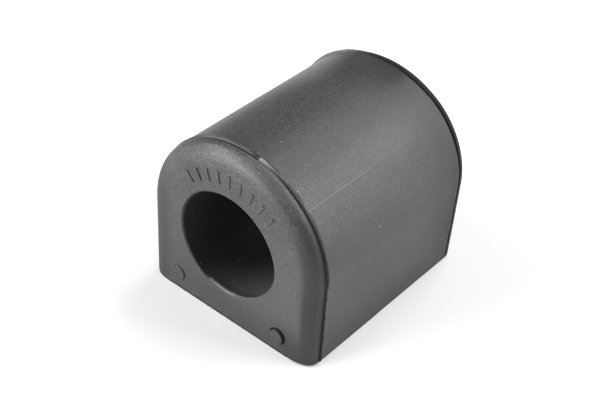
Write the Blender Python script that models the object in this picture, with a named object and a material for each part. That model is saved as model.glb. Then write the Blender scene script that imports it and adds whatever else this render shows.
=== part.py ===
"""Bushing for a vehicle's sway bar: one solid block of moulded rubber.

The block has a D section, flat underneath and arched on top, that runs along
Y.  A round bore for the bar goes right through it.  Each end is a rounded cap
that meets the middle of the block at a parting plane, where the mould left a
thin fin of flash around the arch.  The front cap (at -Y) carries two round
pips near its lower corners and a row of plain raised bars above the bore.

Metres, +Z up.  The origin is the centre of the flat base: X across the block,
Y along the bore.
"""
import math

import bmesh
import bpy

MM = 0.001

# ---- driving dimensions, in millimetres ------------------------------------
LENGTH = 58.2            # front end face to rear end face
HALF_WIDTH = 25.0        # at the springing of the arch, at the front cap
FOOT_HALF_WIDTH = 25.15  # at the base: the side walls lean out a little
SPRING_Z = 23.3          # height at which the arch springs from the sides
ARCH_RISE = 24.05        # springing to crown
ARCH_STEPS = 40          # facets around the arch
SIDE_HEIGHTS = (0.0, 1.1, 6.0, 12.0, 18.0)   # levels up each side wall
REAR_GROWTH = 0.8        # the block grows this much from the front cap to the
REAR_FOOT_GROWTH = 0.4   # rear one, the mould's draft; less of it at the base

BORE_R = 14.0            # for a 28 mm bar
BORE_Z = 21.9            # bore axis above the base
MOUTH_CHAMFER = 0.4      # small bevel at each mouth of the bore
BORE_STEPS = 56

CAP_DEPTH = 3.75         # end face to the parting plane
CAP_INSET = 6.1          # how far the end face is set in from the cap's rim
CAP_LIP = 0.15           # the cap's rim stands this proud of its own outline
CAP_POWER = 2.5          # 2 would be an elliptical rounding, more is squarer
CAP_STEPS = 7

CREASE_DEPTH = 0.35      # groove between the cap and the flash fin
FRONT_FIN_HEIGHT = 0.45  # flash fins, above the side of the block
REAR_FIN_HEIGHT = 0.55
FIN_THICKNESS = 0.25
SWELL = 0.12             # the block swells out this much towards each fin
SWELL_LENGTH = 2.4

PIP_R = 2.0              # round pips on the front end face
PIP_X = 15.8
PIP_Z = 4.9
PIP_HEIGHT = 0.6

BAR_COUNT = 9            # plain raised bars in an arc above the bore
BAR_INNER_R = 16.8       # measured from the bore axis
BAR_OUTER_R = 20.0
BAR_WIDTH = 0.8
BAR_HEIGHT = 0.4
BAR_SPAN = 80.0          # degrees between the first and the last bar


def side_half(z, out, foot_out):
    """Half width at a height z up the side walls, set out by `foot_out` at
    the base and by `out` at the springing."""
    t = z / SPRING_Z
    return (FOOT_HALF_WIDTH + foot_out) * (1.0 - t) + (HALF_WIDTH + out) * t


def d_outline(out, foot_out, flash):
    """Points (x, z) of the D section set out by `out` mm (by `foot_out` at the
    base), from the right foot over the arch to the left foot.  The base stays
    flat at z = 0.  `flash` is added everywhere but at the two feet, where the
    flash is trimmed flush with the base."""
    right = []
    for z in SIDE_HEIGHTS:
        grow = flash if z > 0.0 else 0.0
        right.append((side_half(z, out, foot_out) + grow, z))
    arch = []
    for i in range(ARCH_STEPS + 1):
        a = math.pi * i / ARCH_STEPS
        arch.append(((HALF_WIDTH + out + flash) * math.cos(a),
                     SPRING_Z + (ARCH_RISE + out + flash) * math.sin(a)))
    left = [(-x, z) for x, z in reversed(right)]
    return right + arch + left


def end_profile(growth, foot_growth, fin_height):
    """(depth behind the end face, set-out, set-out at the base, flash) from
    the end face to the plain side of the block: rounded cap, crease, flash
    fin, then the swell.  `growth` and `foot_growth` are the draft here."""
    profile = []
    for i in range(CAP_STEPS + 1):
        a = 0.5 * math.pi * i / CAP_STEPS
        depth = CAP_DEPTH * (1.0 - math.cos(a) ** (2.0 / CAP_POWER))
        rise = math.sin(a) ** (2.0 / CAP_POWER)
        inset = CAP_INSET * (1.0 - rise)
        profile.append((depth, growth * rise - inset, foot_growth * rise - inset,
                        CAP_LIP * rise))
    fin = CAP_DEPTH + 0.2
    start = fin + FIN_THICKNESS + 0.1
    profile.append((CAP_DEPTH + 0.12, growth, foot_growth, CAP_LIP - CREASE_DEPTH))
    profile.append((fin, growth, foot_growth, fin_height))
    profile.append((fin + FIN_THICKNESS, growth, foot_growth, fin_height))
    profile.append((start, growth, foot_growth, SWELL))
    for i in range(1, 4):
        t = i / 3
        profile.append((start + SWELL_LENGTH * t, growth, foot_growth,
                        SWELL * (1.0 - t) ** 2))
    return profile


def new_object(name, bm):
    bmesh.ops.recalc_face_normals(bm, faces=bm.faces)
    mesh = bpy.data.meshes.new(name)
    bm.to_mesh(mesh)
    bm.free()
    obj = bpy.data.objects.new(name, mesh)
    bpy.context.scene.collection.objects.link(obj)
    return obj


def as_helper(obj):
    """Mark a shape that only cuts or is merged into the block."""
    obj.hide_render = True
    obj.display_type = 'WIRE'
    return obj


def add_boolean(obj, helper, operation):
    mod = obj.modifiers.new(helper.name, 'BOOLEAN')
    mod.operation = operation
    mod.solver = 'EXACT'
    mod.object = helper
    return mod


def build_block():
    """Loft the D section through the end profile at both ends."""
    front = end_profile(0.0, 0.0, FRONT_FIN_HEIGHT)
    rear = end_profile(REAR_GROWTH, REAR_FOOT_GROWTH, REAR_FIN_HEIGHT)
    stations = [(-LENGTH / 2 + depth, *rest) for depth, *rest in front]
    stations += [(LENGTH / 2 - depth, *rest) for depth, *rest in reversed(rear)]
    bm = bmesh.new()
    rings = []
    for y, out, foot_out, flash in stations:
        rings.append([bm.verts.new((x * MM, y * MM, z * MM))
                      for x, z in d_outline(out, foot_out, flash)])
    for near, far in zip(rings, rings[1:]):
        count = len(near)
        for i in range(count):
            j = (i + 1) % count
            bm.faces.new((near[i], near[j], far[j], far[i]))
    bm.faces.new(rings[0])
    bm.faces.new(list(reversed(rings[-1])))
    return new_object("bushing", bm)


def build_bore_cutter():
    """A turned shape about the bore axis, flared at both mouths."""
    over = 1.0
    half = LENGTH / 2
    wide = BORE_R + MOUTH_CHAMFER
    profile = [(-half - over, wide + over), (-half + MOUTH_CHAMFER, BORE_R),
               (half - MOUTH_CHAMFER, BORE_R), (half + over, wide + over)]
    bm = bmesh.new()
    rings = []
    for y, r in profile:
        rings.append([bm.verts.new((
            r * math.cos(2 * math.pi * i / BORE_STEPS) * MM, y * MM,
            (BORE_Z + r * math.sin(2 * math.pi * i / BORE_STEPS)) * MM))
            for i in range(BORE_STEPS)])
    for near, far in zip(rings, rings[1:]):
        for i in range(BORE_STEPS):
            j = (i + 1) % BORE_STEPS
            bm.faces.new((near[i], near[j], far[j], far[i]))
    bm.faces.new(rings[0])
    bm.faces.new(list(reversed(rings[-1])))
    return as_helper(new_object("bore_cutter", bm))


def build_pips():
    """Two low round pips, each a short cone frustum sunk into the face."""
    bm = bmesh.new()
    sink = 0.8
    for side in (-1, 1):
        made = bmesh.ops.create_cone(
            bm, cap_ends=True, segments=24,
            radius1=(PIP_R + 0.12) * MM, radius2=(PIP_R - 0.12) * MM,
            depth=(PIP_HEIGHT + sink) * MM)
        for v in made["verts"]:
            x, y, z = v.co
            v.co = (x + side * PIP_X * MM,
                    -z - (LENGTH / 2 + (PIP_HEIGHT - sink) / 2) * MM,
                    y + PIP_Z * MM)
    return as_helper(new_object("pips", bm))


def build_bars():
    """Plain raised bars set like the hours of a dial above the bore."""
    bm = bmesh.new()
    sink = 0.8
    mid_r = (BAR_INNER_R + BAR_OUTER_R) / 2
    for k in range(BAR_COUNT):
        a = math.radians(-BAR_SPAN / 2 + BAR_SPAN * k / (BAR_COUNT - 1))
        made = bmesh.ops.create_cube(bm, size=1.0)
        for v in made["verts"]:
            front = v.co.y < 0
            narrow = 0.06 if front else -0.06
            u = math.copysign(BAR_WIDTH / 2 - narrow, v.co.x)
            w = mid_r + math.copysign((BAR_OUTER_R - BAR_INNER_R) / 2 - narrow,
                                      v.co.z)
            y = -LENGTH / 2 - BAR_HEIGHT if front else -LENGTH / 2 + sink
            v.co = ((w * math.sin(a) + u * math.cos(a)) * MM, y * MM,
                    (BORE_Z + w * math.cos(a) - u * math.sin(a)) * MM)
    return as_helper(new_object("bars", bm))


def rubber_material():
    mat = bpy.data.materials.new("black_rubber")
    mat.use_nodes = True
    shader = mat.node_tree.nodes["Principled BSDF"]
    shader.inputs["Base Color"].default_value = (0.038, 0.038, 0.0382, 1.0)
    shader.inputs["Roughness"].default_value = 0.62
    shader.inputs["Metallic"].default_value = 0.0
    return mat


def main():
    for obj in list(bpy.data.objects):
        bpy.data.objects.remove(obj, do_unlink=True)

    block = build_block()
    add_boolean(block, build_bore_cutter(), 'DIFFERENCE')
    add_boolean(block, build_pips(), 'UNION')
    add_boolean(block, build_bars(), 'UNION')

    block.data.materials.append(rubber_material())
    block.data.shade_smooth()
    block.data.set_sharp_from_angle(angle=math.radians(35))


main()
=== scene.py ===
"""Sway bar bushing: the visible surface, its material, and the studio.

One moulded rubber block with a D section.  The skin is one closed grid: lines
of longitude run round the D section, and stations run from the rear mouth of
the bore through the bore, over the front end face, along the block and back
round the rear end.  Everything is in millimetres until the mesh is made.
"""
import math

import bmesh
import bpy
import numpy as np
from mathutils import Matrix, Vector


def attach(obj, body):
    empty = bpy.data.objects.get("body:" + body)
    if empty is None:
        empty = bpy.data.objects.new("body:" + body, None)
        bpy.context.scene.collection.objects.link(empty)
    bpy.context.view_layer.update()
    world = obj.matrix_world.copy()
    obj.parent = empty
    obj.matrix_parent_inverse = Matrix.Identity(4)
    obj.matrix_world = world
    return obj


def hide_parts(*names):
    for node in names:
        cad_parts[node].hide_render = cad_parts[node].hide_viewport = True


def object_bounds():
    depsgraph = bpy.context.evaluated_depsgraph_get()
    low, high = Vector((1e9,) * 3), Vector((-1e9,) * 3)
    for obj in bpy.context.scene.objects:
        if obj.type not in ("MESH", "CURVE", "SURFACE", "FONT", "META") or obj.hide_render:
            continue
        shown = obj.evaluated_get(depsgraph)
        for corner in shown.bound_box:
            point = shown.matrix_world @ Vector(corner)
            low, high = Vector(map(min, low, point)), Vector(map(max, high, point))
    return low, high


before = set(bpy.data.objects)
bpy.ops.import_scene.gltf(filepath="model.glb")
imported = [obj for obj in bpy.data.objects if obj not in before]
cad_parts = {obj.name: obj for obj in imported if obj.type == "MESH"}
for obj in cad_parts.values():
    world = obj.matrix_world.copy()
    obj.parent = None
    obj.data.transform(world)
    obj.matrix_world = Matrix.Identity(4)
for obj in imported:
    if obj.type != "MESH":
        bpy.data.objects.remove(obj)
cad_lo, cad_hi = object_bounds()

MM = 0.001

# ---- the block, as in the solid model --------------------------------------
LENGTH = 58.2
HALF = 25.0
FOOT = 25.15
SPRING_Z = 23.3
RISE = 24.05
REAR_GROWTH = 0.8
FOOT_SHARE = 0.5         # of the growth, at the base
BORE_R = 14.0
BORE_X, BORE_Z = -0.25, 21.9   # moulded a touch to one side
CAP_DEPTH = 3.75
CAP_INSET = 6.1
CAP_POWER = 2.5
SWELL = 0.12             # towards the rear fin
FRONT_SWELL = 0.03
SWELL_LENGTH = 2.4
PIP_X = {1: 15.6, -1: -15.8}   # the right one and the left one
PIP_Z = 4.95


# ---- smooth repeatable noise ------------------------------------------------
def hashed(i, seed):
    """A repeatable value in -1..1 for each whole number i."""
    x = np.sin(np.asarray(i, float) * 127.1 + seed * 311.7) * 43758.5453
    return 2.0 * (x - np.floor(x)) - 1.0


def noise1(x, seed):
    """Smooth noise along a line, one knot per unit, in -1..1."""
    x = np.asarray(x, float)
    i = np.floor(x)
    f = x - i
    f = f * f * (3.0 - 2.0 * f)
    return hashed(i, seed) * (1.0 - f) + hashed(i + 1, seed) * f


def noise3(x, y, z, seed):
    """Smooth noise in space, one knot per unit, in -1..1."""
    xi, yi, zi = np.floor(x), np.floor(y), np.floor(z)
    fx, fy, fz = x - xi, y - yi, z - zi
    fx, fy, fz = (f * f * (3.0 - 2.0 * f) for f in (fx, fy, fz))
    total = 0.0
    for dx, wx in ((0, 1.0 - fx), (1, fx)):
        for dy, wy in ((0, 1.0 - fy), (1, fy)):
            for dz, wz in ((0, 1.0 - fz), (1, fz)):
                key = (xi + dx) + (yi + dy) * 57.0 + (zi + dz) * 113.0
                total = total + hashed(key, seed) * wx * wy * wz
    return total


def smooth(t):
    t = np.clip(t, 0.0, 1.0)
    return t * t * (3.0 - 2.0 * t)


def bump(x, centre, width):
    """1 at the centre, falling smoothly to 0 at `width` either side."""
    return smooth(1.0 - np.abs(x - centre) / width)


# ---- lines of longitude ------------------------------------------------------
EDGE = [0.0, 0.05, 0.11, 0.18, 0.26, 0.36, 0.5, 0.7]     # close to a sharp edge


def make_lines():
    """Each line is (kind, value): the height on a side wall, the angle on the
    arch, or the fraction of the half width along the base."""
    heights = EDGE + list(np.arange(0.95, SPRING_Z - 0.1, 0.25))
    lines = [("right", z) for z in heights]
    arch = np.linspace(0.0, math.pi, 340)
    lines += [("arch", a) for a in arch]
    coarse = EDGE + list(np.arange(1.0, SPRING_Z - 0.2, 0.7))
    lines += [("left", z) for z in reversed(coarse)]
    ends = [e / FOOT for e in EDGE]
    middle = list(np.linspace(1.2 / FOOT, 2.0 - 1.2 / FOOT, 24))
    base = [-1.0 + e for e in ends[1:] + middle] + [1.0 - e for e in reversed(ends[1:])]
    lines += [("base", t) for t in base]
    return lines


LINES = make_lines()
COUNT = len(LINES)
KIND = np.array([{"right": 0, "arch": 1, "left": 2, "base": 3}[k] for k, _ in LINES])
VALUE = np.array([v for _, v in LINES])


def outline(growth=0.0, inset=0.0, flash=0.0):
    """(x, z) of every line on the section grown by `growth` (less at the
    base) and set in by `inset`.  `flash` is added except at the base.  Each
    may be one number or one for each line."""
    growth, inset, flash = (np.broadcast_to(np.asarray(v, float), (COUNT,))
                            for v in (growth, inset, flash))
    x = np.empty(COUNT)
    z = np.empty(COUNT)
    out = growth - inset
    foot = FOOT_SHARE * growth - inset
    trim = np.where(KIND == 3, 0.0, np.where(KIND == 1, 1.0, smooth(VALUE / 1.1)))
    for side, sign in ((0, 1.0), (2, -1.0)):
        m = KIND == side
        t = VALUE[m] / SPRING_Z
        x[m] = sign * ((FOOT + foot[m]) * (1.0 - t) + (HALF + out[m]) * t + (flash * trim)[m])
        z[m] = VALUE[m]
    m = KIND == 1
    x[m] = (HALF + out[m] + flash[m]) * np.cos(VALUE[m])
    z[m] = SPRING_Z + (RISE + out[m] + flash[m]) * np.sin(VALUE[m])
    m = KIND == 3
    x[m] = (FOOT + foot[m]) * VALUE[m]
    z[m] = 0.0
    return x, z


RX, RZ = outline()
# distance round the section from the right foot, in mm
STEP = np.hypot(np.roll(RX, -1) - RX, np.roll(RZ, -1) - RZ)
S = np.concatenate([[0.0], np.cumsum(STEP)[:-1]])


def arch_s(degrees):
    """Distance round the section of a point on the arch."""
    m = KIND == 1
    return float(np.interp(math.radians(degrees), VALUE[m], S[m]))


# where each line is on the D, in degrees: 0 and 180 at the springing of the
# arch, 90 at the crown, -60 and 240 at the feet
TURN = np.select(
    [KIND == 0, KIND == 1, KIND == 2],
    [-60.0 * (1.0 - VALUE / SPRING_Z), np.degrees(VALUE), 180.0 + 60.0 * (1.0 - VALUE / SPRING_Z)],
    240.0 + 60.0 * (VALUE + 1.0))


def around(*pairs):
    """A value for each line, given as (degrees, value) pairs."""
    return np.interp(TURN, [d for d, _ in pairs], [v for _, v in pairs])


# ---- the flash fins, which differ along their length ------------------------
def front_flash():
    """Per line: lip of the cap, fin height above the side, lean of the fin
    along Y, depth and width of the crease between them, how much the cap
    draws in before its lip, and how far the fin's back slopes out."""
    rough = 0.5 * noise1(S * 0.9, 1) + 0.3 * noise1(S * 2.3, 2) + 0.2 * noise1(S * 5.1, 3)
    lip = around((-60, 0.10), (-30, 0.14), (20, 0.12), (60, 0.06), (76, 0.12), (84, 0.28),
                 (130, 0.28), (150, 0.16), (180, 0.15), (240, 0.14))
    height = around((-60, 0.62), (-30, 0.74), (-4, 0.66), (4, 0.96), (30, 0.98), (44, 0.74), (57, 0.48),
                    (66, 0.34), (78, 0.32), (95, 0.30), (115, 0.26), (130, 0.22), (150, 0.13), (240, 0.13))
    ragged = around((-60, 0.16), (20, 0.16), (45, 0.09), (70, 0.04), (110, 0.015), (240, 0.03))
    height = height + ragged * rough
    lean = 0.05 * noise1(S * 0.35, 5) + 0.03 * noise1(S * 1.7, 6)
    lean = lean * around((-60, 1.0), (70, 1.0), (110, 0.3), (240, 0.3))
    crease = around((-60, 0.30), (40, 0.30), (70, 0.36), (110, 0.34), (180, 0.2), (240, 0.2))
    crease = crease + 0.04 * noise1(S * 0.5, 7)
    gap = around((-60, 0.08), (40, 0.09), (62, 0.12), (82, 0.24), (96, 0.28), (110, 0.46), (140, 0.42),
                 (240, 0.07))
    # on the right the back of the fin slopes out to the side of the block
    spread = around((-60, 0.40), (55, 0.38), (62, 0.15), (70, 0.0))
    spread = spread * (1.0 + 0.3 * noise1(S * 1.9, 8) + 0.25 * noise1(S * 4.3, 9))
    # near the crown on the right a strip of the fin is torn and bent forward
    # over the crease, with a hole at its upper end; further down the edge is
    # notched
    strip = smooth((TURN - 60.0) / 16.0) * smooth((79.0 - TURN) / 1.2)
    hole = bump(S, arch_s(80.6), 0.55)
    height = (height + 0.06 * strip) * (1.0 - hole)
    lean = lean * (1.0 - strip) - 0.10 * strip
    gap = gap * (1.0 - 0.7 * strip)
    spread = np.maximum(spread, 0.42 * strip)
    crease = crease + 0.30 * hole
    for place, size in ((22.2, 0.50), (16.4, 0.16), (9.3, 0.20), (30.5, 0.14), (4.1, 0.12)):
        height = height - size * bump(S, place, 0.55)
    # the cap draws in a little before its lip
    draw = around((30, 0.0), (60, 0.0), (74, 0.08), (86, 0.18), (115, 0.18), (135, 0.08), (150, 0.0))
    return lip, height, lean, crease, gap, draw, spread


def rear_flash():
    rough = 0.5 * noise1(S * 0.8, 11) + 0.3 * noise1(S * 2.1, 12) + 0.2 * noise1(S * 4.7, 13)
    lip = 0.12 + 0.03 * noise1(S * 0.3, 18)
    height = around((-60, 0.06), (-10, 0.13), (20, 0.30), (62, 0.40), (80, 0.58), (92, 0.55),
                    (110, 0.66), (130, 0.66), (150, 0.40), (180, 0.30), (240, 0.2)) + 0.04 * rough
    lean = 0.05 * noise1(S * 0.3, 15) + 0.04 * noise1(S * 1.5, 16)
    crease = 0.42 + 0.08 * noise1(S * 0.6, 17)
    for place, size in ((arch_s(58), 0.12), (arch_s(41), 0.10), (12.0, 0.08)):
        height = height - size * bump(S, place, 0.7)
    return lip, height, lean, crease


def cap_rings(growth, lip, draw, steps, end):
    """The rounding of a cap, as (depth, growth, inset, flash).  Its rim
    stands up in a small step, the lip, and stops at the depth `end`."""
    edge = CAP_DEPTH - 0.13
    depths = []
    for k in range(steps):
        c = math.cos(0.5 * math.pi * (k / steps) ** 0.85) ** (2.0 / CAP_POWER)
        depths.append(CAP_DEPTH * (1.0 - c))
    depths = [d for d in depths if d < edge - 0.42]
    depths += [edge - 0.36, edge - 0.28, edge - 0.21, edge - 0.15, edge - 0.10, edge - 0.06,
               edge - 0.03, edge, edge + 0.02, edge + 0.04, edge + 0.06, edge + 0.09,
               CAP_DEPTH]
    rings = []
    for depth in depths:
        c = 1.0 - depth / CAP_DEPTH
        rise = (1.0 - c ** CAP_POWER) ** (1.0 / CAP_POWER)
        up = 0.25 * rise + 0.75 * float(smooth((depth - edge) / 0.08))
        dip = draw * (0.5 * float(bump(depth, edge - 0.05, 0.8)) + 1.5 * float(bump(depth, edge - 0.09, 0.24)))
        rings.append((depth * end / CAP_DEPTH, growth * rise, CAP_INSET * (1.0 - rise), lip * up - dip))
    return rings


def swell_rings(start, front):
    """From the flash to the plain side of the block."""
    rings = []
    for t in (0.0, 0.06, 0.14, 0.25, 0.4, 0.55, 0.7, 0.85, 1.0):
        depth = start + SWELL_LENGTH * t
        y = -LENGTH / 2 + depth if front else LENGTH / 2 - depth
        swell = FRONT_SWELL if front else SWELL
        rings.append((depth, growth_at(y), 0.0, swell * (1.0 - t) ** 2))
    return rings


def growth_at(y):
    """How far the block's side has grown at y."""
    half = LENGTH / 2 - CAP_DEPTH
    return REAR_GROWTH * (y + half) / (2.0 * half)


def front_end(steps):
    """Cap, crease, then the flash fin that stands on the block's side."""
    lip, top, lean, crease, gap, draw, spread = front_flash()
    foot = CAP_DEPTH - around((-60, 0.16), (-35, 0.16), (-10, 0.02), (30, 0.02), (45, 0.12), (56, 0.12),
                              (68, -0.08), (80, -0.2), (105, -0.25), (122, -0.42), (150, -0.42),
                              (180, -0.2), (240, 0.0))
    low = lip - crease
    rings = cap_rings(0.0, lip, draw, steps, foot)
    for depth, flash in (
            (0.025, lip - 0.015), (0.045, lip - 0.06), (0.06, lip - 0.6 * crease),
            (0.075, low + 0.02), (0.09 + 0.2 * gap, low), (0.09 + 0.9 * gap, low),
            (0.11 + gap + 0.2 * lean, 0.85 * low + 0.15 * top),
            (0.13 + gap + 0.5 * lean, 0.45 * low + 0.55 * top),
            (0.15 + gap + 0.85 * lean, 0.10 * low + 0.90 * top - 0.02),
            (0.17 + gap + 0.95 * lean, top - 0.02),
            (0.20 + gap + lean, top), (0.26 + gap + lean + 0.1 * spread, top - 0.005),
            (0.30 + gap + lean + 0.35 * spread, top - 0.05 - 0.1 * spread),
            (0.34 + gap + 0.8 * lean + 0.7 * spread, 0.5 * top + 0.5 * FRONT_SWELL),
            (0.38 + gap + 0.6 * lean + spread, 0.15 * top + 0.85 * FRONT_SWELL)):
        rings.append((foot + depth, 0.0, 0.0, flash))
    return rings + swell_rings(CAP_DEPTH + 1.45, True)


def rear_end(steps):
    """Cap, the flash fin on the cap's rim, then a ragged crease between the
    fin and the block's side."""
    lip, top, lean, crease = rear_flash()
    wide = 0.10 * noise1(S * 0.7, 19) + 0.09 * noise1(S * 2.6, 20)
    foot = CAP_DEPTH - around((-60, 0.1), (-10, 0.28), (10, 0.34), (45, 0.34), (60, 0.1),
                              (72, 0.0))
    g = REAR_GROWTH
    low = SWELL - crease
    rings = cap_rings(g, lip, 0.0, steps, foot)
    for depth, flash in (
            (0.03, 0.6 * lip + 0.4 * top), (0.06 + 0.5 * lean, 0.15 * lip + 0.85 * top),
            (0.09 + lean, top - 0.02), (0.14 + lean, top), (0.19 + lean, top - 0.02),
            (0.22 + lean, top - 0.07), (0.25 + 0.7 * lean, 0.5 * top + 0.5 * low),
            (0.28 + 0.4 * lean, 0.15 * top + 0.85 * low), (0.32, low), (0.48 + wide, low),
            (0.54 + wide, 0.6 * low + 0.4 * SWELL), (0.59 + wide, 0.25 * low + 0.75 * SWELL),
            (0.64 + wide, SWELL - 0.03)):
        rings.append((foot + depth, g, 0.0, flash))
    return rings + swell_rings(CAP_DEPTH + 0.95, False)


# ---- the skin ------------------------------------------------------------------
def mouth(angle, front):
    """(depth, radius) for every line from inside the bore out to the end
    face.  The chamfer is widest on the left; at the front a lip of rubber
    stands in along the lower right of the mouth."""
    deg = np.degrees(angle) % 360.0
    fine = noise1(angle * 41.0, 33 if front else 34)
    ragged = noise1(angle * 9.0, 31 if front else 32)
    if front:
        wide = np.interp(deg, (0, 60, 120, 150, 165, 210, 232, 244, 340, 360),
                         (0.16, 0.16, 0.20, 0.26, 0.48, 0.42, 0.14, 0.10, 0.10, 0.16))
        lip = np.interp(deg, (243, 248, 258, 270, 286, 306, 328, 349, 356),
                        (0.0, 0.5, 0.8, 0.9, 1.1, 0.97, 0.7, 0.12, 0.0))
        lip = lip * (1.0 + 0.06 * ragged + 0.04 * fine)
    else:
        wide = np.full(COUNT, 0.4)
        lip = np.zeros(COUNT)
    wide = wide * (1.0 + 0.10 * ragged + 0.06 * fine)
    deep = np.maximum(0.9 * wide, 0.12)
    rings = [(d, BORE_R - lip * smooth((1.5 - d) / 0.8)) for d in (1.6, 1.4, 1.25, 1.1, 0.95, 0.8, 0.65)]
    for share, out in ((1.06, 0.0), (1.0, 0.01), (0.92, 0.06), (0.7, 0.29), (0.45, 0.54), (0.2, 0.80),
                       (0.06, 0.93), (0.015, 0.99), (0.0, 1.06)):
        rings.append((deep * share, BORE_R - lip + wide * out))
    rings.append((np.zeros(COUNT), BORE_R - lip + wide * 1.06 + 0.12))
    return rings


def build_rings():
    """Every ring of the closed grid, as arrays of x, y, z over the lines."""
    rings = []
    rows = []
    edge_x, edge_z = outline(inset=CAP_INSET)
    angle = np.arctan2(edge_z - BORE_Z, edge_x)
    ca, sa = np.cos(angle), np.sin(angle)
    half = LENGTH / 2

    def circle(y, r):
        rings.append((BORE_X + r * ca, np.broadcast_to(np.asarray(y, float), (COUNT,)).copy(),
                      BORE_Z + r * sa))

    def end(front):
        """The rings of one end, from inside the bore to the side wall."""
        made = []
        sign = -1.0 if front else 1.0
        profile = mouth(angle, front)
        for d, r in profile:
            made.append((BORE_X + r * ca, np.broadcast_to(sign * (half - d), (COUNT,)).copy(),
                         BORE_Z + r * sa))
        cx, cz = BORE_X + profile[-1][1] * ca, BORE_Z + profile[-1][1] * sa
        for t in (0.12, 0.3, 0.5, 0.7, 0.88):
            made.append((cx + (edge_x - cx) * t, np.full(COUNT, sign * half),
                         cz + (edge_z - cz) * t))
        kinds = ["face"] * len(made)
        for d, growth, inset, flash in (front_end(22) if front else rear_end(12)):
            x, z = outline(growth, inset, flash)
            made.append((x, np.broadcast_to(sign * (half - d), (COUNT,)).copy(), z))
            kinds.append("side")
        return made, kinds

    # through the bore from rear to front
    for y in np.linspace(half - 3.0, -half + 3.0, 6):
        circle(y, BORE_R)
        rows.append("bore")
    made, kinds = end(True)
    rings += made
    rows += kinds
    start = -half + CAP_DEPTH + 1.45 + SWELL_LENGTH
    for y in np.linspace(start, -start, 27)[1:-1]:
        x, z = outline(growth_at(y))
        rings.append((x, np.full(COUNT, y), z))
        rows.append("side")
    made, kinds = end(False)
    rings += reversed(made)
    rows += reversed(kinds)
    return rings, np.array(rows)


def soften_base_edge(p, rows):
    """Round the sharp lower edges: the walls and the base turn in towards
    the edge over the last `w` mm, as a moulded corner does."""
    w = 0.7
    side = rows == "side"
    fx = p[side][:, 0, 0].copy()                     # the right foot, per ring
    fy = p[side][:, 0, 1].copy()
    # horizontal outward direction of the wall at each ring's right foot
    tx, ty = np.gradient(fx), np.gradient(fy)
    size = np.maximum(np.hypot(tx, ty), 1e-9)
    wall_x, wall_y = ty / size, -tx / size
    half = LENGTH / 2

    def cut(d):
        return np.clip(w - d, 0.0, w) ** 2 / (4.0 * w)

    q = p[side]
    x, y, z = q[..., 0].copy(), q[..., 1].copy(), q[..., 2].copy()
    base = (z < 1e-7)
    dx = np.clip(fx[:, None] - np.abs(x), 0.0, None)
    n = len(fx) // 2
    front_y = np.interp(np.abs(x), fx[:n], fy[:n])
    rear_y = np.interp(np.abs(x), fx[n:][::-1], fy[n:][::-1])
    dy = np.clip(np.minimum(y - front_y, rear_y - y), 0.0, None)
    near = dx * dy / np.maximum(np.hypot(dx, dy), 1e-9)
    lift = np.where(base, cut(near), 0.0)
    at_rim = base & (near < 1e-4)
    pull = np.where(at_rim | (~base & (z < w)), cut(np.where(base, 0.0, z)), 0.0)
    along_end = at_rim & (np.abs(np.abs(y) - half) < 1e-6) & (dx > 1e-4)
    nx = np.where(along_end, 0.0, wall_x[:, None] * np.sign(x))
    ny = np.where(along_end, np.sign(y), wall_y[:, None])
    q[..., 0] = x - pull * nx
    q[..., 1] = y - pull * ny
    q[..., 2] = z + lift
    p[side] = q

    face = rows == "face"
    q = p[face]
    low = (q[..., 2] < w) & (np.abs(np.abs(q[..., 1]) - half) < 1e-6)
    q[..., 1] -= np.where(low, cut(q[..., 2]) * np.sign(q[..., 1]), 0.0)
    p[face] = q
    return p


def witness_line(p):
    """A thin raised line along the upper right of the block, from the front
    fin backwards, fading out."""
    x, y, z = p[..., 0], p[..., 1], p[..., 2]
    a = math.radians(43.1)
    nx, nz = math.cos(a), math.sin(a)
    grown = growth_at(y)
    lx, lz = (HALF + grown) * nx, SPRING_Z + (RISE + grown) * nz
    across = (x - lx) * -nz + (z - lz) * nx
    near = (x - lx) * nx + (z - lz) * nz
    here = (np.abs(near) < 1.2) & (np.abs(y) < LENGTH / 2 - 4.2)
    wander = 0.05 * noise1(y * 0.12, 41)
    ridge = np.exp(-((across - wander) / 0.16) ** 2)
    fade = smooth((y + 25.9) / 1.0) * (0.35 + 0.65 * smooth((8.0 - y) / 14.0)) * smooth((24.0 - y) / 8.0)
    lift = 0.13 * ridge * fade * (1.0 + 0.35 * noise1(y * 0.9, 42)) * here
    x += lift * nx
    z += lift * nz
    return p


def uneven(p):
    """Moulded rubber is never quite flat: gentle dips of a few hundredths of a
    millimetre on the skin, always inwards."""
    x, y, z = p[..., 0], p[..., 1], p[..., 2]
    n = noise3(x / 11.0, y / 11.0, z / 11.0, 51) + 0.5 * noise3(x / 4.3, y / 4.3, z / 4.3, 52)
    dip = 0.020 * (1.0 - np.clip(n, -1.0, 1.0))
    centre = np.stack([0.0 * x, np.clip(y, -22.0, 22.0), np.full_like(x, SPRING_Z)], -1)
    d = p - centre
    d /= np.maximum(np.linalg.norm(d, axis=-1, keepdims=True), 1e-9)
    in_bore = np.hypot(x - BORE_X, z - BORE_Z) < BORE_R + 0.5
    low = smooth(z / 1.5)
    k = np.where(in_bore, 0.0, dip * low)
    p -= d * k[..., None]
    return p


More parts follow.
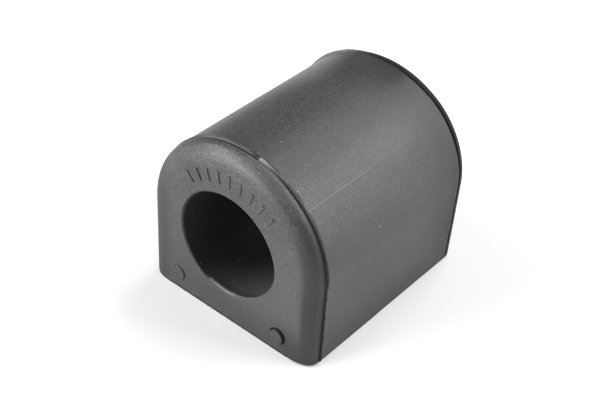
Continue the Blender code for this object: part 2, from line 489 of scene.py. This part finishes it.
def grid_object(name):
    rings, kinds = build_rings()
    p = np.stack([np.stack([np.broadcast_to(c, (COUNT,)) for c in ring], -1) for ring in rings])
    p = np.ascontiguousarray(p, dtype=float)
    p = soften_base_edge(p, kinds)
    # the front right corner of the base is moulded a little short
    near = np.clip(1.0 - np.hypot(p[..., 0] - 23.0, p[..., 1] + 28.0) / 6.0, 0.0, 1.0)
    p[..., 2] += 0.38 * smooth(near) * smooth(1.0 - p[..., 2] / 4.0)
    p = witness_line(p)
    p = uneven(p)
    lo, hi = (np.array(v) / MM for v in (cad_lo, cad_hi))
    p = np.clip(p, lo, hi)
    rows, cols = p.shape[:2]
    index = np.arange(rows * cols).reshape(rows, cols)
    nxt = np.roll(index, -1, axis=1)
    down = np.roll(index, -1, axis=0)
    down_nxt = np.roll(nxt, -1, axis=0)
    faces = np.stack([index, down, down_nxt, nxt], -1).reshape(-1, 4)
    mesh = bpy.data.meshes.new(name)
    mesh.from_pydata((p.reshape(-1, 3) * MM).tolist(), [], faces.tolist())
    mesh.update()
    bm = bmesh.new()
    bm.from_mesh(mesh)
    bmesh.ops.recalc_face_normals(bm, faces=bm.faces)
    if bm.calc_volume(signed=True) < 0:
        bmesh.ops.reverse_faces(bm, faces=bm.faces)
    bm.to_mesh(mesh)
    bm.free()
    obj = bpy.data.objects.new(name, mesh)
    bpy.context.scene.collection.objects.link(obj)
    return obj


# ---- pips and bars -----------------------------------------------------------
def turned(bm, profile, centre, segments, wobble=0.0, seed=0):
    """A closed turned shape about an axis along Y.  profile: (y, r) pairs."""
    rings = []
    for y, r in profile:
        ring = []
        for i in range(segments):
            a = 2 * math.pi * i / segments
            rr = r * (1.0 + wobble * float(noise1(a * 1.6, seed)))
            ring.append(bm.verts.new(((centre[0] + rr * math.cos(a)) * MM, y * MM,
                                      (centre[1] + rr * math.sin(a)) * MM)))
        rings.append(ring)
    for near, far in zip(rings, rings[1:]):
        for i in range(segments):
            j = (i + 1) % segments
            bm.faces.new((near[i], near[j], far[j], far[i]))
    bm.faces.new(rings[0])
    bm.faces.new(list(reversed(rings[-1])))


def pips_object():
    bm = bmesh.new()
    face = -LENGTH / 2
    for side, height in ((1, 0.58), (-1, 0.27)):
        r = 1.86
        top = face - height
        profile = [(face + 0.9, r + 0.02), (face, r + 0.02), (top + 0.16, r),
                   (top + 0.09, r - 0.02), (top + 0.04, r - 0.06), (top + 0.01, r - 0.12),
                   (top, r - 0.20), (top + 0.02, r - 0.7), (top + 0.04, 0.4)]
        turned(bm, profile, (PIP_X[side], PIP_Z), 72, 0.02, 60 + side)
    bmesh.ops.recalc_face_normals(bm, faces=bm.faces)
    mesh = bpy.data.meshes.new("pips")
    bm.to_mesh(mesh)
    bm.free()
    obj = bpy.data.objects.new("pips", mesh)
    bpy.context.scene.collection.objects.link(obj)
    return obj


def pip_grooves():
    """A narrow groove round each pip, deeper round the right one."""
    bm = bmesh.new()
    face = -LENGTH / 2
    for side, deep, wide in ((1, 0.45, 0.52), (-1, 0.12, 0.18)):
        rings = []
        for i in range(72):
            a = 2 * math.pi * i / 72
            # widest towards the upper right
            w = wide * (0.62 + 0.38 * math.cos(a - math.radians(50.0)))
            ring = []
            for r, y in ((1.55, face - 0.3), (1.86 + w, face - 0.3), (1.86 + w, face),
                         (1.86 + 0.7 * w, face + deep), (1.55, face + deep)):
                ring.append(bm.verts.new(((PIP_X[side] + r * math.cos(a)) * MM, y * MM,
                                          (PIP_Z + r * math.sin(a)) * MM)))
            rings.append(ring)
        for i in range(72):
            near, far = rings[i], rings[(i + 1) % 72]
            for k in range(5):
                m = (k + 1) % 5
                bm.faces.new((near[k], near[m], far[m], far[k]))
    bmesh.ops.recalc_face_normals(bm, faces=bm.faces)
    mesh = bpy.data.meshes.new("grooves")
    bm.to_mesh(mesh)
    bm.free()
    obj = bpy.data.objects.new("grooves", mesh)
    bpy.context.scene.collection.objects.link(obj)
    return obj


def bars_object():
    """Nine plain raised bars with rounded edges, in an arc above the bore."""
    bm = bmesh.new()
    inner, outer, width, height, sink = 16.8, 20.0, 0.8, 0.22, 0.8
    mid = (inner + outer) / 2
    for k in range(9):
        a = math.radians(-40.0 + 10.0 * k)
        one = bmesh.new()
        bmesh.ops.create_cube(one, size=1.0)
        for v in one.verts:
            v.co = Vector((v.co.x * width, v.co.y * (height + sink), v.co.z * (outer - inner)))
        front = [e for e in one.edges if all(v.co.y < 0 for v in e.verts)]
        upright = [e for e in one.edges if e.verts[0].co.y * e.verts[1].co.y < 0]
        bmesh.ops.bevel(one, geom=front + upright, offset=0.14, offset_type='OFFSET',
                        segments=3, profile=0.5, affect='EDGES')
        turn = Matrix.Rotation(a, 4, 'Y')
        place = Matrix.Translation(Vector((mid * math.sin(a),
                                           -LENGTH / 2 - height + (height + sink) / 2,
                                           BORE_Z + mid * math.cos(a))))
        one.transform(Matrix.Scale(MM, 4) @ place @ turn)
        part = bpy.data.meshes.new("bar")
        one.to_mesh(part)
        one.free()
        bm.from_mesh(part)
        bpy.data.meshes.remove(part)
    bmesh.ops.recalc_face_normals(bm, faces=bm.faces)
    mesh = bpy.data.meshes.new("bars")
    bm.to_mesh(mesh)
    bm.free()
    obj = bpy.data.objects.new("bars", mesh)
    bpy.context.scene.collection.objects.link(obj)
    return obj


def merge(obj, helper, operation):
    """Apply one exact boolean and drop the helper."""
    mod = obj.modifiers.new("merge", 'BOOLEAN')
    mod.operation = operation
    mod.solver = 'EXACT'
    mod.object = helper
    depsgraph = bpy.context.evaluated_depsgraph_get()
    made = bpy.data.meshes.new_from_object(obj.evaluated_get(depsgraph))
    obj.modifiers.clear()
    old = obj.data
    obj.data = made
    bpy.data.meshes.remove(old)
    bpy.data.objects.remove(helper, do_unlink=True)


# ---- the material ----------------------------------------------------------------
def nodes_of(mat):
    mat.use_nodes = True
    nt = mat.node_tree
    return nt, nt.nodes["Principled BSDF"]


def add(nt, kind, **values):
    node = nt.nodes.new(kind)
    for key, value in values.items():
        setattr(node, key, value)
    return node


def wire(nt, value, socket):
    if isinstance(value, (int, float)):
        socket.default_value = value
    else:
        nt.links.new(value, socket)


def maths(nt, operation, a, b=0.0, clamp=False):
    node = add(nt, "ShaderNodeMath", operation=operation, use_clamp=clamp)
    wire(nt, a, node.inputs[0])
    wire(nt, b, node.inputs[1])
    return node.outputs[0]


def step(nt, value, lo, hi, out_lo=0.0, out_hi=1.0):
    """Smooth ramp of value from lo..hi to out_lo..out_hi."""
    node = add(nt, "ShaderNodeMapRange", interpolation_type='SMOOTHSTEP')
    nt.links.new(value, node.inputs["Value"])
    for name, v in (("From Min", lo), ("From Max", hi), ("To Min", out_lo), ("To Max", out_hi)):
        node.inputs[name].default_value = v
    return node.outputs["Result"]


def noise(nt, vector, per_mm, detail=2.0, rough=0.5):
    node = add(nt, "ShaderNodeTexNoise")
    nt.links.new(vector, node.inputs["Vector"])
    node.inputs["Scale"].default_value = per_mm * 1000.0
    node.inputs["Detail"].default_value = detail
    node.inputs["Roughness"].default_value = rough
    return node.outputs["Fac"]


def band(nt, value, lo, hi, soft=0.1):
    """1 where value is between lo and hi mm, with soft edges."""
    rise = step(nt, value, (lo - soft) * MM, lo * MM)
    fall = step(nt, value, hi * MM, (hi + soft) * MM, 1.0, 0.0)
    return maths(nt, 'MULTIPLY', rise, fall)


def specks(nt, vector, spacing, radius, share, shift):
    """1 on scattered dots: one cell in `share` holds a dot of about `radius`
    mm, the cells being `spacing` mm apart."""
    move = add(nt, "ShaderNodeVectorMath", operation='ADD')
    nt.links.new(vector, move.inputs[0])
    move.inputs[1].default_value = (shift, 0.7 * shift, -0.4 * shift)
    cell = add(nt, "ShaderNodeTexVoronoi", feature='F1')
    nt.links.new(move.outputs[0], cell.inputs["Vector"])
    cell.inputs["Scale"].default_value = 1000.0 / spacing
    split = add(nt, "ShaderNodeSeparateColor")
    nt.links.new(cell.outputs["Color"], split.inputs["Color"])
    chosen = maths(nt, 'LESS_THAN', split.outputs["Red"], share)
    size = maths(nt, 'MULTIPLY_ADD', split.outputs["Green"], 0.9)
    size.node.inputs[2].default_value = 0.4
    near = maths(nt, 'DIVIDE', cell.outputs["Distance"], size)
    dot = step(nt, near, 0.6 * radius / spacing, 1.1 * radius / spacing, 1.0, 0.0)
    return maths(nt, 'MULTIPLY', dot, chosen)


def mix(nt, factor, a, b):
    node = add(nt, "ShaderNodeMix", data_type='RGBA')
    wire(nt, factor, node.inputs[0])
    for socket, value in ((node.inputs[6], a), (node.inputs[7], b)):
        if isinstance(value, tuple):
            socket.default_value = value
        else:
            nt.links.new(value, socket)
    return node.outputs[2]


def grey(v):
    return (v, v, v * 1.005, 1.0)


RUBBER = 0.035           # albedo of the clean rubber


def rubber():
    """Moulded black rubber: fine grain, faint cloudiness, dust specks, and painted light and painted shade placed by
    position on the block.
    """
    mat = bpy.data.materials.new("black_rubber")
    nt, shader = nodes_of(mat)
    where = add(nt, "ShaderNodeTexCoord").outputs["Object"]
    axes = add(nt, "ShaderNodeSeparateXYZ")
    nt.links.new(where, axes.inputs[0])
    x, y, z = axes.outputs

    cloud = noise(nt, where, 0.12, 3.0, 0.55)
    patch = noise(nt, where, 0.55, 2.0, 0.6)
    grain = noise(nt, where, 2.6, 2.0, 0.6)
    fine = noise(nt, where, 5.5, 1.0, 0.5)

    # distance from the bore axis
    across = maths(nt, 'SUBTRACT', x, BORE_X * MM)
    up = maths(nt, 'SUBTRACT', z, BORE_Z * MM)
    radius = maths(nt, 'SQRT', maths(nt, 'ADD', maths(nt, 'MULTIPLY', across, across),
                                     maths(nt, 'MULTIPLY', up, up)))
    inside = step(nt, radius, 14.25 * MM, 14.08 * MM)

    top = step(nt, z, 18.0 * MM, 33.0 * MM)
    face = step(nt, y, -28.55 * MM, -28.95 * MM)
    coarse = maths(nt, 'MAXIMUM', maths(nt, 'MULTIPLY', top, 1.0), maths(nt, 'MULTIPLY', face, 0.7))

    tone = mix(nt, step(nt, cloud, 0.30, 0.70), grey(RUBBER * 0.94), grey(RUBBER * 1.14))
    # painted light: the right half of the front face is made paler, where light falls on it; larger dust specks are
    # scattered over the same area below
    painted_light_and_dust = maths(nt, 'MULTIPLY', step(nt, x, -5.0 * MM, 14.0 * MM), face)
    painted_light_and_dust = maths(nt, 'MULTIPLY', painted_light_and_dust, step(nt, z, 43.0 * MM, 22.0 * MM))
    painted_light_and_dust = maths(nt, 'MULTIPLY', painted_light_and_dust, step(nt, z, 3.0 * MM, 14.0 * MM, 0.35, 1.0))
    tone = mix(nt, maths(nt, 'MULTIPLY', painted_light_and_dust, 0.48), tone, grey(RUBBER * 2.0))
    tone = mix(nt, step(nt, patch, 0.58, 0.78, 0.0, 0.5), tone, grey(RUBBER * 1.6))
    # painted highlight: paler on the upper right rounding of the front cap, and at the rear of the upper left side,
    # where light falls
    painted_highlight = maths(nt, 'MULTIPLY', band(nt, y, -27.6, -25.9, 0.6), step(nt, x, -4.0 * MM, 6.0 * MM))
    painted_highlight = maths(nt, 'MULTIPLY', painted_highlight, step(nt, z, 37.0 * MM, 43.5 * MM, 0.0, 0.38))
    rear_left_highlight = maths(nt, 'MULTIPLY', step(nt, y, -6.0 * MM, 20.0 * MM), step(nt, x, -3.0 * MM, -11.0 * MM))
    rear_top_highlight = maths(nt, 'MULTIPLY', step(nt, y, 16.0 * MM, 24.0 * MM), step(nt, x, 1.0 * MM, -5.0 * MM))
    rear_left_highlight = maths(nt, 'MAXIMUM', rear_left_highlight, rear_top_highlight)
    painted_highlight = maths(nt, 'MAXIMUM', painted_highlight, maths(nt, 'MULTIPLY', rear_left_highlight, 0.7))
    tone = mix(nt, painted_highlight, tone, grey(RUBBER * 3.6))
    # painted light: the lower inside of the bore is made paler, where light reaches it
    tone = mix(nt, maths(nt, 'MULTIPLY', inside, step(nt, z, 22.0 * MM, 9.0 * MM, 0.0, 0.14)), tone,
               grey(RUBBER * 2.0))
    light = maths(nt, 'MULTIPLY', step(nt, grain, 0.55, 0.72), coarse)
    dark = maths(nt, 'MULTIPLY', step(nt, grain, 0.45, 0.30), coarse)
    tone = mix(nt, maths(nt, 'MULTIPLY', light, 0.92), tone, grey(RUBBER * 2.6))
    tone = mix(nt, maths(nt, 'MULTIPLY', dark, 0.92), tone, grey(RUBBER * 0.2))

    # how far a point stands above the plain outline of the block
    zz = maths(nt, 'MAXIMUM', maths(nt, 'SUBTRACT', z, SPRING_Z * MM), 0.0)
    ex = maths(nt, 'DIVIDE', x, HALF * MM)
    ez = maths(nt, 'DIVIDE', zz, RISE * MM)
    arc = maths(nt, 'SQRT', maths(nt, 'ADD', maths(nt, 'MULTIPLY', ex, ex), maths(nt, 'MULTIPLY', ez, ez)))
    above = maths(nt, 'MULTIPLY', maths(nt, 'SUBTRACT', arc, 1.0), 24.5 * MM)
    leaning = maths(nt, 'MULTIPLY', step(nt, z, 0.0, SPRING_Z * MM, 1.0, 0.0), (FOOT - HALF) * MM)
    above = maths(nt, 'SUBTRACT', above, leaning)
    # painted shade: the flash is darkened along the creases, and made matt there; further on, a painted highlight
    # makes it pale where it is torn
    jag = maths(nt, 'MULTIPLY_ADD', noise(nt, where, 0.9, 3.0, 0.7), 0.5 * MM)
    wire(nt, y, jag.node.inputs[2])
    # the front crease lies a little further back half way up the right side
    back = maths(nt, 'MULTIPLY', step(nt, z, 9.0 * MM, 18.0 * MM), step(nt, z, 44.0 * MM, 38.0 * MM))
    here = maths(nt, 'SUBTRACT', y, maths(nt, 'MULTIPLY', back, 0.22 * MM))
    jag_here = maths(nt, 'SUBTRACT', jag, maths(nt, 'MULTIPLY', back, 0.22 * MM))
    front_flash_band = maths(nt, 'MULTIPLY', band(nt, here, -25.52, -24.0), band(nt, jag_here, -26.5, -24.50, 0.06))
    rear_jag = maths(nt, 'SUBTRACT', jag, maths(nt, 'MULTIPLY', step(nt, x, 11.0 * MM, 16.0 * MM), 0.32 * MM))
    rear_flash_band = band(nt, rear_jag, 24.85, 27.30, 0.12)
    rear_flash_band = maths(nt, 'MULTIPLY', rear_flash_band, step(nt, x, -9.0 * MM, -1.0 * MM))
    # less so further down the right wall
    rear_flash_band = maths(nt, 'MULTIPLY', rear_flash_band, step(nt, z, 26.0 * MM, 42.0 * MM, 0.6, 1.0))
    right = step(nt, x, 10.0 * MM, 13.0 * MM)
    depth = step(nt, above, 0.05 * MM, 0.45 * MM, 0.68, 0.40)
    painted_shade = maths(nt, 'MAXIMUM', maths(nt, 'MULTIPLY', front_flash_band, maths(nt, 'MULTIPLY', right, depth)),
                 rear_flash_band)
    flank = maths(nt, 'MULTIPLY', band(nt, y, -25.5, -24.0, 0.2), step(nt, x, -11.0 * MM, -16.0 * MM, 0.0, 0.55))
    painted_shade = maths(nt, 'MAXIMUM', painted_shade, flank)
    # painted shade too on the top of the block in front of the rear fin
    shade = maths(nt, 'MULTIPLY', step(nt, y, 13.0 * MM, 26.0 * MM, 0.0, 0.45), step(nt, x, -3.0 * MM, 3.0 * MM))
    shade = maths(nt, 'MULTIPLY', shade, step(nt, x, 10.0 * MM, 5.0 * MM))
    shade = maths(nt, 'MULTIPLY', shade, step(nt, z, 42.5 * MM, 46.5 * MM))
    painted_shade = maths(nt, 'MAXIMUM', painted_shade, shade)
    # painted shade in the grooves round the pips
    for side, amount in ((1, 0.9), (-1, 0.15)):
        px = maths(nt, 'SUBTRACT', x, PIP_X[side] * MM)
        pz = maths(nt, 'SUBTRACT', z, PIP_Z * MM)
        far = maths(nt, 'SQRT', maths(nt, 'ADD', maths(nt, 'MULTIPLY', px, px), maths(nt, 'MULTIPLY', pz, pz)))
        ring = maths(nt, 'MULTIPLY', band(nt, far, 1.81, 2.32, 0.05), step(nt, y, -28.4 * MM, -28.5 * MM))
        ring = maths(nt, 'MULTIPLY', ring, amount)
        painted_shade = maths(nt, 'MAXIMUM', painted_shade, ring)
    # along the crown the parting line gets painted shade in its groove and painted highlights on its two edges, the
    # lip of the cap and the top of the fin; on the left it lies further back
    line = maths(nt, 'SUBTRACT', y, maths(nt, 'MULTIPLY', step(nt, x, -5.0 * MM, -13.0 * MM), 0.2 * MM))
    groove = maths(nt, 'MULTIPLY', band(nt, line, -25.50, -24.72, 0.05), step(nt, above, 0.13 * MM, 0.05 * MM))
    groove = maths(nt, 'MULTIPLY', groove, step(nt, x, -14.0 * MM, 1.0 * MM, 0.25, 1.0))
    groove = maths(nt, 'MULTIPLY', groove, step(nt, x, 8.0 * MM, 5.0 * MM))
    wedge = maths(nt, 'MULTIPLY', band(nt, y, -24.95, -24.35, 0.05), band(nt, x, 2.8, 4.5, 0.6))
    groove = maths(nt, 'MAXIMUM', groove, wedge)
    groove = maths(nt, 'MULTIPLY', groove, step(nt, z, 34.0 * MM, 40.0 * MM))
    painted_shade = maths(nt, 'MAXIMUM', painted_shade, groove)
    # painted shade: darkens the creases, the grooves round the pips, the parting line along the crown and the top in
    # front of the rear fin
    tone = mix(nt, maths(nt, 'MULTIPLY', painted_shade, 0.8), tone, grey(RUBBER * 0.25))
    # painted shade, with some added roughness: the side is darker and duller towards the rear crease, and so is the
    # right rounding of the front cap near the base
    dull_and_shaded = maths(nt, 'MULTIPLY', step(nt, y, 8.0 * MM, 24.0 * MM), step(nt, x, 16.0 * MM, 6.0 * MM, 0.72, 1.0))
    dull_and_shaded = maths(nt, 'MULTIPLY', dull_and_shaded, step(nt, x, -14.0 * MM, -6.0 * MM))
    # a band on the upper right is left with less painted shade
    unshaded_band = maths(nt, 'MULTIPLY', band(nt, x, 9.0, 13.0, 4.0), step(nt, z, 30.0 * MM, 38.0 * MM, 0.0, 0.5))
    dull_and_shaded = maths(nt, 'MULTIPLY', dull_and_shaded, maths(nt, 'SUBTRACT', 1.0, unshaded_band))
    low = maths(nt, 'MULTIPLY', band(nt, y, -28.72, -25.5, 0.35), step(nt, x, 14.5 * MM, 21.5 * MM))
    low = maths(nt, 'MULTIPLY', low, step(nt, z, 42.0 * MM, 31.0 * MM))
    low = maths(nt, 'MULTIPLY', low, step(nt, z, 18.0 * MM, 27.0 * MM, 1.0, 0.82))
    corner = maths(nt, 'MULTIPLY', step(nt, x, 12.5 * MM, 19.0 * MM), step(nt, z, 13.0 * MM, 3.0 * MM))
    corner = maths(nt, 'MULTIPLY', corner, step(nt, y, -25.5 * MM, -27.0 * MM, 0.0, 0.95))
    low = maths(nt, 'MAXIMUM', low, corner)
    dull_and_shaded = maths(nt, 'MAXIMUM', dull_and_shaded, low)
    # painted shade too on the left rounding, the lower part of the face and the side, the bottom edge, the left wall
    # of the bore and the left of the crown
    left = maths(nt, 'MULTIPLY', step(nt, x, -16.5 * MM, -22.0 * MM), step(nt, y, -24.0 * MM, -26.0 * MM))
    under = maths(nt, 'MULTIPLY', step(nt, z, 13.0 * MM, 1.0 * MM), step(nt, y, -26.0 * MM, -29.0 * MM, 0.6, 0.5))
    under = maths(nt, 'MULTIPLY', under, step(nt, x, -14.0 * MM, 4.0 * MM, 0.4, 1.0))
    under = maths(nt, 'MAXIMUM', under, step(nt, z, 1.3 * MM, 0.2 * MM, 0.0, 0.9))
    under = maths(nt, 'MULTIPLY', under, step(nt, radius, 14.1 * MM, 14.3 * MM))
    walls = maths(nt, 'MULTIPLY', inside, step(nt, x, -5.0 * MM, -11.0 * MM, 0.0, 0.6))
    crown = maths(nt, 'MULTIPLY', step(nt, x, -3.0 * MM, -12.0 * MM, 0.0, 0.45), step(nt, y, -24.5 * MM, -26.0 * MM))
    crown = maths(nt, 'MULTIPLY', crown, step(nt, z, 34.0 * MM, 39.0 * MM))
    under = maths(nt, 'MAXIMUM', under, maths(nt, 'MAXIMUM', walls, crown))
    dull_and_shaded = maths(nt, 'MAXIMUM', dull_and_shaded, maths(nt, 'MAXIMUM', left, under))
    # painted shade: darkens everything in the dull and shaded mask
    tone = mix(nt, maths(nt, 'MULTIPLY', dull_and_shaded, 0.8), tone, grey(RUBBER * 0.25))
    # painted highlight on the torn strip of the front fin, where its bent face catches the light
    taper = maths(nt, 'ADD', y, maths(nt, 'MULTIPLY', step(nt, x, 5.5 * MM, 10.0 * MM), 0.35 * MM))
    torn = maths(nt, 'MULTIPLY', band(nt, y, -25.26, -24.3), step(nt, taper, -24.40 * MM, -24.50 * MM))
    ragged = maths(nt, 'ADD', x, maths(nt, 'SUBTRACT', jag, y))
    torn = maths(nt, 'MULTIPLY', torn, step(nt, ragged, 4.8 * MM, 5.5 * MM))
    torn = maths(nt, 'MULTIPLY', torn, step(nt, x, 12.5 * MM, 5.5 * MM, 0.0, 1.25))
    torn = maths(nt, 'MULTIPLY', torn, step(nt, z, 40.0 * MM, 42.0 * MM))
    # painted highlights on the two edges of the parting line along the crown
    edges = maths(nt, 'MULTIPLY', band(nt, line, -25.36, -24.55, 0.03), step(nt, above, 0.12 * MM, 0.20 * MM))
    edges = maths(nt, 'MULTIPLY', edges, band(nt, x, -10.0, 4.5, 2.0))
    edges = maths(nt, 'MULTIPLY', edges, step(nt, z, 36.0 * MM, 40.0 * MM))
    # the lip in the mouth of the bore is rubbed pale at its left end, and the chamfer to the left of it is darker
    mouth_band = band(nt, y, -29.3, -28.45, 0.1)
    rubbed = maths(nt, 'MULTIPLY', step(nt, radius, 13.75 * MM, 13.55 * MM), mouth_band)
    rubbed = maths(nt, 'MULTIPLY', rubbed, band(nt, x, -6.5, 1.0, 2.5))
    rubbed = maths(nt, 'MULTIPLY', rubbed, step(nt, patch, 0.30, 0.50, 0.4, 1.0))
    chamfer_darkening = maths(nt, 'MULTIPLY', step(nt, radius, 14.50 * MM, 14.40 * MM), mouth_band)
    chamfer_darkening = maths(nt, 'MULTIPLY', chamfer_darkening, step(nt, x, -4.0 * MM, -7.0 * MM))
    tone = mix(nt, maths(nt, 'MULTIPLY', chamfer_darkening, 0.5), tone, grey(RUBBER * 0.15))
    # pale: the painted highlights on the torn strip and on the parting line's edges, the rubbed lip and the paler
    # witness crest
    pale = maths(nt, 'MAXIMUM', torn, maths(nt, 'MULTIPLY', edges, 0.24))
    pale = maths(nt, 'MAXIMUM', pale, maths(nt, 'MULTIPLY', rubbed, 0.6))
    # the crest of the witness line is paler too
    turn = math.radians(43.1)
    aside = maths(nt, 'SUBTRACT', maths(nt, 'MULTIPLY', z, math.cos(turn)),
                  maths(nt, 'MULTIPLY', x, math.sin(turn)))
    base = (SPRING_Z + RISE * math.sin(turn)) * math.cos(turn) - HALF * math.cos(turn) * math.sin(turn)
    witness = band(nt, aside, base - 0.10, base + 0.12, 0.12)
    witness = maths(nt, 'MULTIPLY', witness, step(nt, x, 10.0 * MM, 12.0 * MM))
    witness = maths(nt, 'MULTIPLY', witness, step(nt, y, 4.0 * MM, -12.0 * MM))
    witness = maths(nt, 'MULTIPLY', witness, step(nt, y, -25.2 * MM, -24.8 * MM))
    witness = maths(nt, 'MULTIPLY', witness, step(nt, patch, 0.25, 0.55, 0.5, 1.0))
    pale = maths(nt, 'MAXIMUM', pale, maths(nt, 'MULTIPLY', witness, 0.45))
    tone = mix(nt, pale, tone, grey(0.17))
    # painted highlight, palest at the upper end of the torn strip
    tone = mix(nt, maths(nt, 'MULTIPLY', torn, step(nt, x, 8.0 * MM, 5.0 * MM, 0.0, 0.45)), tone, grey(0.34))

    # dust: dense and fine on the rounding of the front cap above the bars and
    # on the upper right of the block, scattered elsewhere
    crest = maths(nt, 'MULTIPLY', band(nt, y, -28.9, -26.2, 0.8), band(nt, x, -17.0, 6.0, 4.0))
    crest = maths(nt, 'MULTIPLY', crest, step(nt, z, 38.0 * MM, 41.0 * MM))
    shoulder = maths(nt, 'MULTIPLY', step(nt, x, 4.0 * MM, 13.0 * MM), step(nt, z, 30.0 * MM, 38.0 * MM))
    shoulder = maths(nt, 'MULTIPLY', shoulder, step(nt, y, 14.0 * MM, -6.0 * MM))
    shoulder = maths(nt, 'MULTIPLY', shoulder, step(nt, y, -26.5 * MM, -25.2 * MM, 0.3, 1.0))
    shoulder = maths(nt, 'MULTIPLY', shoulder, step(nt, noise(nt, where, 0.16, 2.0, 0.6), 0.36, 0.56, 0.35, 1.0))
    pits = maths(nt, 'MULTIPLY', specks(nt, where, 0.42, 0.13, 0.38, 0.071), shoulder)
    tone = mix(nt, maths(nt, 'MULTIPLY', pits, 0.85), tone, grey(RUBBER * 0.15))
    zone = maths(nt, 'MAXIMUM', crest, shoulder)
    zone = maths(nt, 'MAXIMUM', zone, maths(nt, 'MULTIPLY', top, 0.12))
    dusty = step(nt, noise(nt, where, 0.11, 2.0, 0.6), 0.40, 0.60)
    powder = maths(nt, 'MAXIMUM', specks(nt, where, 0.31, 0.10, 0.50, 0.013),
                   specks(nt, where, 0.47, 0.13, 0.30, 0.037))
    powder = maths(nt, 'MULTIPLY', powder, zone)
    small = maths(nt, 'MULTIPLY', specks(nt, where, 1.1, 0.10, 0.30, 0.029), dusty)
    large = maths(nt, 'MAXIMUM', specks(nt, where, 3.4, 0.15, 0.28, 0.047),
                  maths(nt, 'MULTIPLY', specks(nt, where, 1.5, 0.11, 0.30, 0.091),
                        maths(nt, 'MULTIPLY', painted_light_and_dust, step(nt, cloud, 0.42, 0.52))))
    dust = maths(nt, 'MAXIMUM', maths(nt, 'MULTIPLY', powder, 0.27),
                 maths(nt, 'MAXIMUM', maths(nt, 'MULTIPLY', small, 0.55), large))
    tone = mix(nt, dust, tone, grey(0.50))
    nt.links.new(tone, shader.inputs["Base Color"])

    rough = maths(nt, 'MULTIPLY_ADD', grain, 0.24)
    rough.node.inputs[2].default_value = 0.33
    rough = maths(nt, 'ADD', rough, maths(nt, 'MULTIPLY', dust, 0.3))
    matt = maths(nt, 'MAXIMUM', maths(nt, 'MULTIPLY', chamfer_darkening, 0.5), painted_shade)
    rough = maths(nt, 'ADD', rough, maths(nt, 'MULTIPLY', matt, 0.5))
    rough = maths(nt, 'ADD', rough, maths(nt, 'MULTIPLY', dull_and_shaded, 0.12), clamp=True)
    nt.links.new(rough, shader.inputs["Roughness"])

    relief = maths(nt, 'ADD', maths(nt, 'MULTIPLY', grain, 0.7), maths(nt, 'MULTIPLY', fine, 0.3))
    relief = maths(nt, 'MULTIPLY', relief, step(nt, coarse, 0.0, 1.0, 0.35, 1.2))
    relief = maths(nt, 'ADD', relief, maths(nt, 'MULTIPLY', patch, 0.6))
    bump_node = add(nt, "ShaderNodeBump")
    bump_node.inputs["Strength"].default_value = 0.8
    bump_node.inputs["Distance"].default_value = 0.075 * MM
    nt.links.new(relief, bump_node.inputs["Height"])
    nt.links.new(bump_node.outputs["Normal"], shader.inputs["Normal"])
    return mat


# ---- the studio -------------------------------------------------------------------
def area_light(name, where, target, size, power):
    data = bpy.data.lights.new(name, 'AREA')
    data.shape = 'RECTANGLE'
    data.size, data.size_y = size
    data.energy = power
    obj = bpy.data.objects.new(name, data)
    bpy.context.scene.collection.objects.link(obj)
    obj.location = Vector(where)
    obj.rotation_euler = (Vector(target) - Vector(where)).to_track_quat('-Z', 'Y').to_euler()
    return obj


def studio():
    scene = bpy.context.scene
    scene.view_settings.view_transform = 'Standard'
    scene.view_settings.look = 'None'
    world = bpy.data.worlds.new("studio")
    world.use_nodes = True
    world.node_tree.nodes["Background"].inputs["Color"].default_value = (1.0, 1.0, 1.0, 1.0)
    world.node_tree.nodes["Background"].inputs["Strength"].default_value = 0.22
    scene.world = world

    mesh = bpy.data.meshes.new("floor")
    size = 3.0
    mesh.from_pydata([(-size, -size, 0.0), (size, -size, 0.0), (size, size, 0.0), (-size, size, 0.0)],
                     [], [(0, 1, 2, 3)])
    floor = bpy.data.objects.new("floor", mesh)
    scene.collection.objects.link(floor)
    mat = bpy.data.materials.new("floor_paper")
    mat.use_nodes = True
    s = mat.node_tree.nodes["Principled BSDF"]
    s.inputs["Base Color"].default_value = (0.9, 0.9, 0.9, 1.0)
    s.inputs["Roughness"].default_value = 0.9
    mesh.materials.append(mat)

    # soft boxes on a dome round the block: azimuth, elevation, power
    centre = Vector((0.0, 0.0, 0.02))
    for name, azimuth, elevation, power in (
            ("front_left_low", 240, 12, 8.3), ("left_high", 210, 35, 6.3),
            ("rear_right", 60, 35, 3.7), ("rear_top", 90, 60, 2.6),
            ("right_low", 30, 12, 2.4), ("right_high", 30, 35, 2.9),
            ("fill", 322, 52, 0.5)):
        a, e = math.radians(azimuth), math.radians(elevation)
        towards = Vector((math.cos(e) * math.cos(a), math.cos(e) * math.sin(a), math.sin(e)))
        area_light(name, centre + 0.9 * towards, centre, (0.42, 0.42), power)


def photo_camera():
    scene = bpy.context.scene
    cam = bpy.data.cameras.new("camera")
    cam.sensor_fit = 'HORIZONTAL'
    cam.sensor_width = 36.0
    cam.lens = 64.24
    cam.clip_start = 0.01
    cam.clip_end = 20.0
    obj = bpy.data.objects.new("camera", cam)
    scene.collection.objects.link(obj)
    right = Vector((0.76381, 0.64323, 0.05345)).normalized()
    down = Vector((0.42777, -0.44246, -0.78819))
    down = (down - down.dot(right) * right).normalized()
    back = right.cross(-down)
    m = Matrix.Identity(4)
    for i in range(3):
        m[i][0], m[i][1], m[i][2] = right[i], -down[i], back[i]
    m.translation = Vector((123.88, -164.05, 178.64)) * MM
    obj.matrix_world = m
    scene.camera = obj


bushing = grid_object("rubber_bushing")
merge(bushing, pip_grooves(), 'DIFFERENCE')
merge(bushing, pips_object(), 'UNION')
merge(bushing, bars_object(), 'UNION')
bushing.data.shade_smooth()
bushing.data.set_sharp_from_angle(angle=math.radians(50))
bushing.data.materials.clear()
bushing.data.materials.append(rubber())
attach(bushing, "root")
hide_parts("bushing")

studio()
photo_camera()
